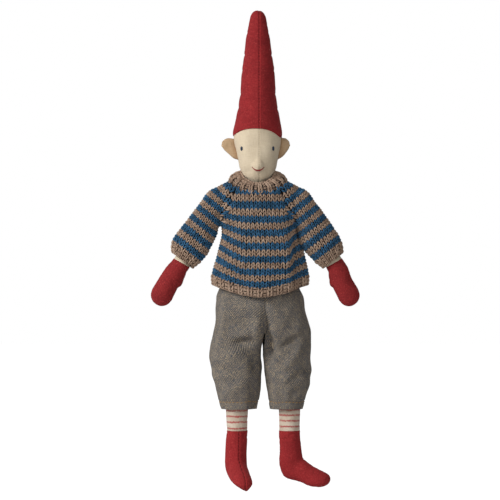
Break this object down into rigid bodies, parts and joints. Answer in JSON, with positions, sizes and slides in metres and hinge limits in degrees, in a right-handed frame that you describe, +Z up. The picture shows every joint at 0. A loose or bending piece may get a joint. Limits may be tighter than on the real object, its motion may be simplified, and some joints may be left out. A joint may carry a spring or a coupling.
{
  "type": "pixie doll",
  "caption": "Stuffed cloth pixie doll with a tall pointed hat, knitted pullover, woven trousers, striped stockings and boots.",
  "frame": {"origin": "in the middle of the waist, where a hand or a doll stand grips the pullover", "axes": "+Z up toward the hat's tip, -Y the way the face looks, +X to the viewer's right, which is the doll's own left"},
  "size_m": [0.215, 0.0723, 0.489],
  "materials": {
    "face_linen": "pale plain linen",
    "body_linen": "pale plain linen",
    "hat_cotton": "matt red woven cotton",
    "mitten_cotton": "matt red woven cotton",
    "boot_cotton": "matt red woven cotton",
    "knit": "hand-knit wool, blue and beige stripes",
    "knit_welt": "hand-knit wool, beige ribbing",
    "trouser_wool": "grey-brown flecked twill",
    "stocking_jersey": "pale jersey with fine red stripes",
    "stuffing": "loose white fibre",
    "elastic": "white woven elastic",
    "eye_thread": "dark blue stitching",
    "mouth_thread": "red stitching"
  },
  "bodies": {
    "torso": {"torso_cover_front": "body_linen", "torso_cover_back": "body_linen", "torso_stuffing": "stuffing", "sweater_front": "knit", "sweater_back": "knit", "sweater_hem": "knit_welt", "sweater_neckband": "knit_welt", "waist_elastic": "elastic"},
    "neck": {"neck": "body_linen"},
    "head": {"face_panel_left": "face_linen", "face_panel_right": "face_linen", "hat_panel_left": "hat_cotton", "hat_panel_right": "hat_cotton", "head_stuffing": "stuffing", "ear_left": "face_linen", "ear_right": "face_linen", "eye_left": "eye_thread", "eye_right": "eye_thread", "mouth": "mouth_thread"},
    "shoulder_left": {"shoulder_tab_left": "body_linen"},
    "arm_left": {"arm_cover_left": "body_linen", "arm_stuffing_left": "stuffing", "mitten_left": "mitten_cotton", "sweater_sleeve_left": "knit", "sweater_cuff_left": "knit_welt"},
    "shoulder_right": {"shoulder_tab_right": "body_linen"},
    "arm_right": {"arm_cover_right": "body_linen", "arm_stuffing_right": "stuffing", "mitten_right": "mitten_cotton", "sweater_sleeve_right": "knit", "sweater_cuff_right": "knit_welt"},
    "thigh_left": {"thigh_cover_left": "body_linen", "thigh_stuffing_left": "stuffing", "trousers_left": "trouser_wool", "trouser_hem_left": "trouser_wool"},
    "lower_leg_left": {"stocking_left": "stocking_jersey", "boot_inner_left": "boot_cotton", "boot_outer_left": "boot_cotton", "leg_stuffing_left": "stuffing"},
    "thigh_right": {"thigh_cover_right": "body_linen", "thigh_stuffing_right": "stuffing", "trousers_right": "trouser_wool", "trouser_hem_right": "trouser_wool"},
    "lower_leg_right": {"stocking_right": "stocking_jersey", "boot_inner_right": "boot_cotton", "boot_outer_right": "boot_cotton", "leg_stuffing_right": "stuffing"}
  },
  "joints": [
    {"name": "neck_nod", "type": "hinge", "parent": "torso", "child": "neck", "pos_m": [0, 0, 0.072], "axis": [1, 0, 0], "range_deg": [-20, 20], "deforming": ["sweater_neckband"]},
    {"name": "head_turn", "type": "hinge", "parent": "neck", "child": "head", "pos_m": [0, 0, 0.072], "axis": [0, 0, 1], "range_deg": [-45, 45], "deforming": ["sweater_neckband"]},
    {"name": "arm_swing_left", "type": "hinge", "parent": "torso", "child": "shoulder_left", "pos_m": [-0.0426, 0, 0.0564], "axis": [-1, 0, 0], "range_deg": [-45, 75], "deforming": ["sweater_sleeve_left"]},
    {"name": "arm_raise_left", "type": "hinge", "parent": "shoulder_left", "child": "arm_left", "pos_m": [-0.0426, 0, 0.0564], "axis": [0, 1, 0], "range_deg": [-7, 60], "deforming": ["sweater_sleeve_left"]},
    {"name": "arm_swing_right", "type": "hinge", "parent": "torso", "child": "shoulder_right", "pos_m": [0.0426, 0, 0.0564], "axis": [-1, 0, 0], "range_deg": [-45, 75], "deforming": ["sweater_sleeve_right"]},
    {"name": "arm_raise_right", "type": "hinge", "parent": "shoulder_right", "child": "arm_right", "pos_m": [0.0426, 0, 0.0564], "axis": [0, -1, 0], "range_deg": [-7, 60], "deforming": ["sweater_sleeve_right"]},
    {"name": "hip_swing_left", "type": "hinge", "parent": "torso", "child": "thigh_left", "pos_m": [-0.0136, 0, -0.069], "axis": [-1, 0, 0], "range_deg": [-20, 90], "deforming": ["trousers_left"]},
    {"name": "leg_twist_left", "type": "hinge", "parent": "thigh_left", "child": "lower_leg_left", "pos_m": [-0.0214, 0, -0.137], "axis": [0, 0, 1], "range_deg": [-70, 15]},
    {"name": "hip_swing_right", "type": "hinge", "parent": "torso", "child": "thigh_right", "pos_m": [0.0244, 0, -0.069], "axis": [-1, 0, 0], "range_deg": [-20, 90], "deforming": ["trousers_right"]},
    {"name": "leg_twist_right", "type": "hinge", "parent": "thigh_right", "child": "lower_leg_right", "pos_m": [0.0322, 0, -0.137], "axis": [0, 0, 1], "range_deg": [-80, 12]}
  ]
}
